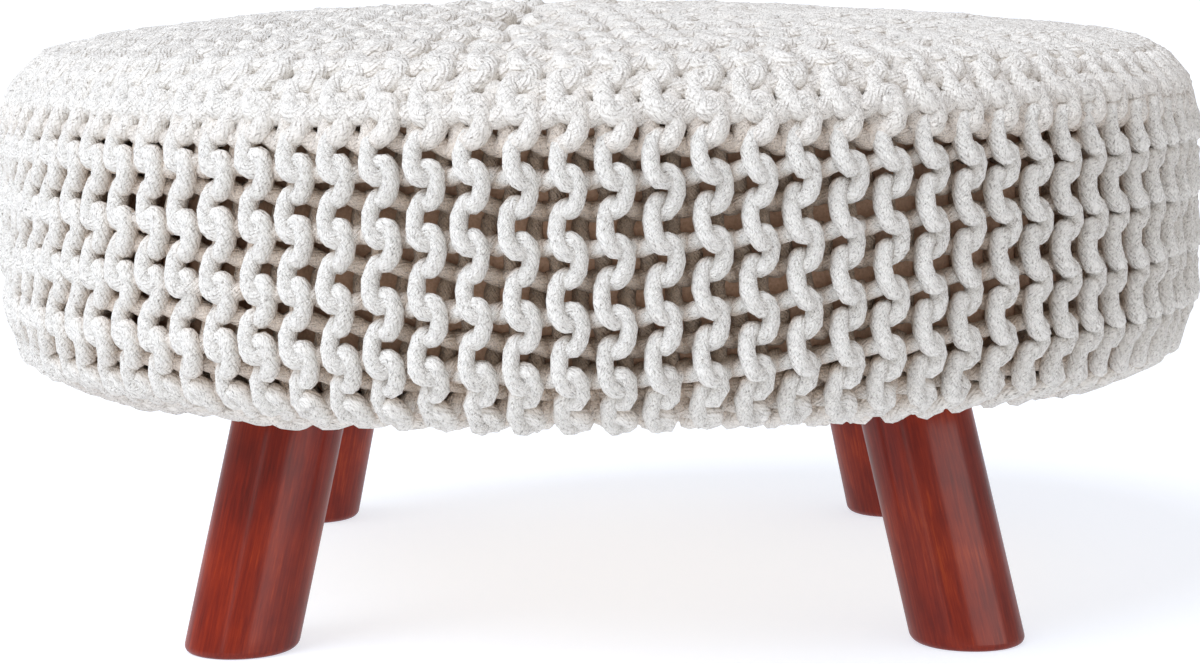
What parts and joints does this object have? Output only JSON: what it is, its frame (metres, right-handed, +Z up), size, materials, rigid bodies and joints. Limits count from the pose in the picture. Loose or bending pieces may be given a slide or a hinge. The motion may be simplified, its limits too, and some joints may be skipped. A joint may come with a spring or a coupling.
{
  "type": "knitted pouf on wooden legs",
  "caption": "Round pouf with a chunky knitted cotton rope cover, gathered in the middle of its top, on splayed round wooden legs.",
  "frame": {"origin": "on the floor, under the middle of the seat", "axes": "+Z up; -Y towards the front, the side that the picture shows; +X to the right of someone who looks at the front"},
  "size_m": [0.5578, 0.5586, 0.2725],
  "materials": {
    "cotton_rope": "undyed off-white twisted cotton rope, matt and slightly fuzzy",
    "casing_cotton": "plain brown woven cotton, matt, seen only through the gaps of the knit",
    "leg_wood": "red-brown stained hardwood under a satin lacquer",
    "board_wood": "plain plywood, sanded"
  },
  "bodies": {
    "root": {"knit_cover": "cotton_rope", "casing": "casing_cotton", "base_board": "board_wood", "leg_front_left": "leg_wood", "leg_front_right": "leg_wood", "leg_back_left": "leg_wood", "leg_back_right": "leg_wood"}
  },
  "joints": []
}
